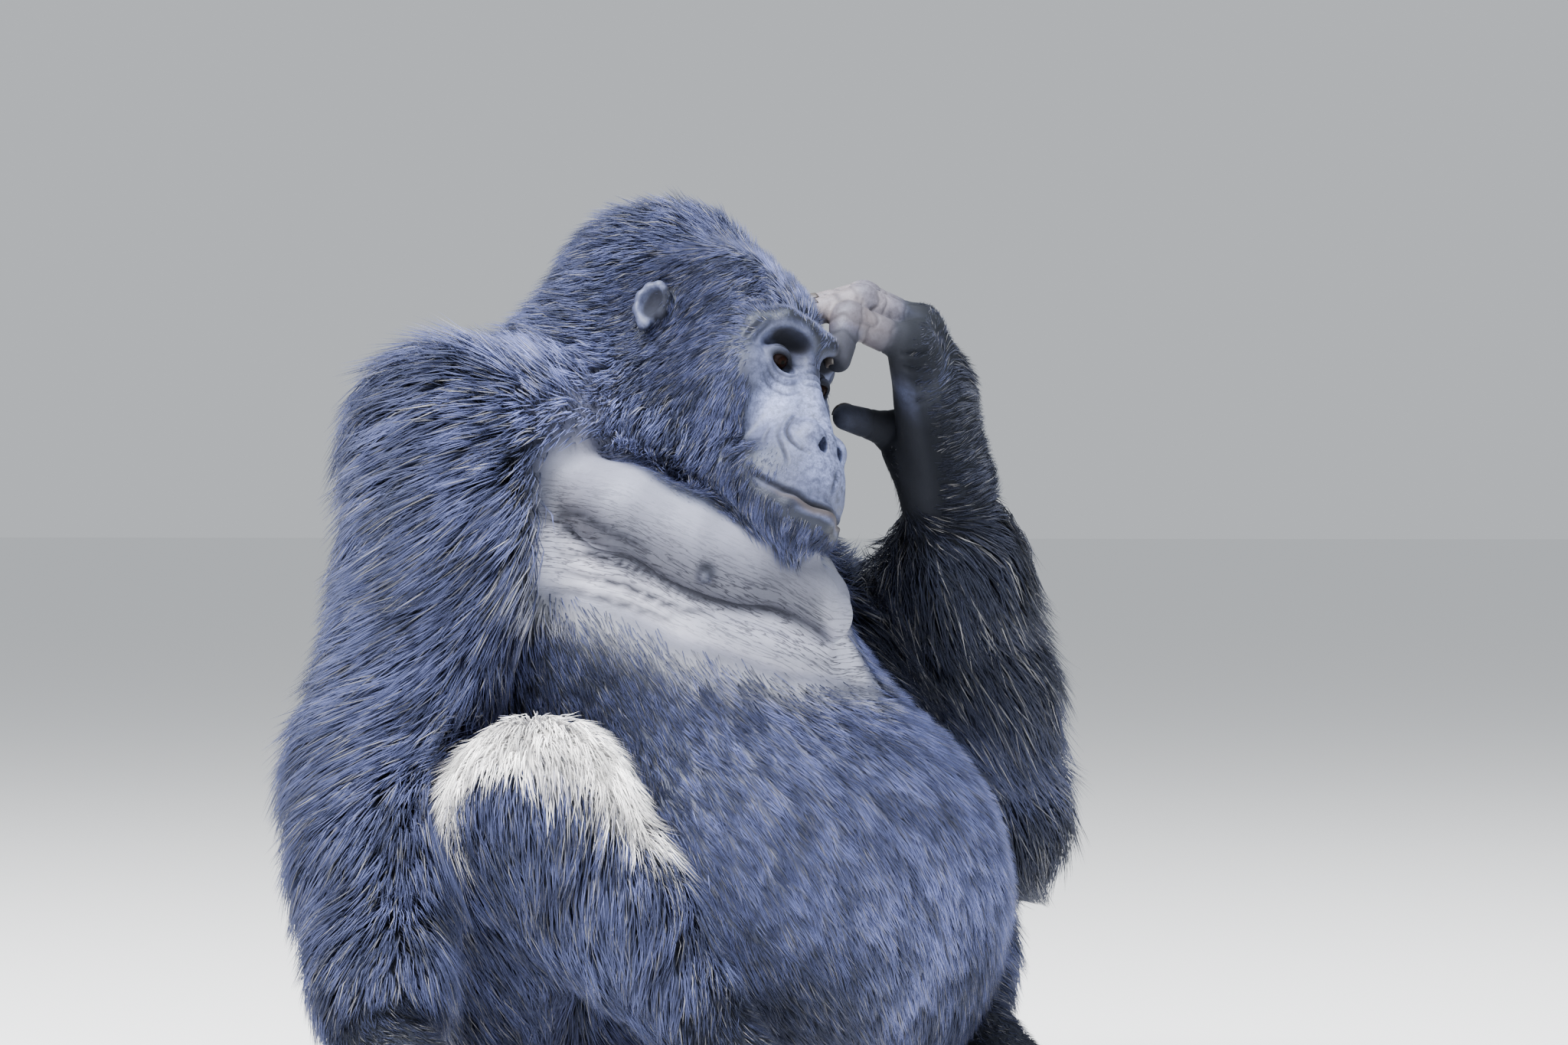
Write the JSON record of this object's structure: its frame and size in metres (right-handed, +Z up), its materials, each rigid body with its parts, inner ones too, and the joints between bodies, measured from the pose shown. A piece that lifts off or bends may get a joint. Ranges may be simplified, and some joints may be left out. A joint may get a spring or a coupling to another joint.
{
  "type": "mountain gorilla",
  "caption": "Life-size still model of an adult male mountain gorilla, sitting on the ground, brow resting on its left hand.",
  "frame": {"origin": "on the ground, under the middle of the body's box", "axes": "+Z up from the ground; the chest faces -Y and the animal's own left is +X"},
  "size_m": [1.1384, 0.697, 0.9683],
  "materials": {
    "fur": "long black hair with a blue sheen, greyish white on the saddle, thighs and knees",
    "skin": "bare creased grey-black skin of face, chest, hands and feet",
    "eye": "wet dark brown eye",
    "nail": "dark horn"
  },
  "bodies": {
    "root": {"belly": "fur", "chest": "fur", "head": "fur", "left_big_toe": "skin", "left_ear": "skin", "left_eye": "eye", "left_foot": "skin", "left_forearm": "fur", "left_fourth_toe": "skin", "left_hand": "fur", "left_index_finger": "skin", "left_little_finger": "skin", "left_little_toe": "skin", "left_middle_finger": "skin", "left_ring_finger": "skin", "left_second_toe": "skin", "left_shin": "fur", "left_thigh": "fur", "left_third_toe": "skin", "left_thumb": "skin", "left_upper_arm": "fur", "neck": "fur", "pelvis": "fur", "right_big_toe": "skin", "right_ear": "skin", "right_eye": "eye", "right_foot": "skin", "right_forearm": "fur", "right_fourth_toe": "skin", "right_hand": "fur", "right_index_finger": "skin", "right_little_finger": "skin", "right_little_toe": "skin", "right_middle_finger": "skin", "right_ring_finger": "skin", "right_second_toe": "skin", "right_shin": "fur", "right_thigh": "fur", "right_third_toe": "skin", "right_thumb": "skin", "right_upper_arm": "fur"}
  },
  "joints": []
}
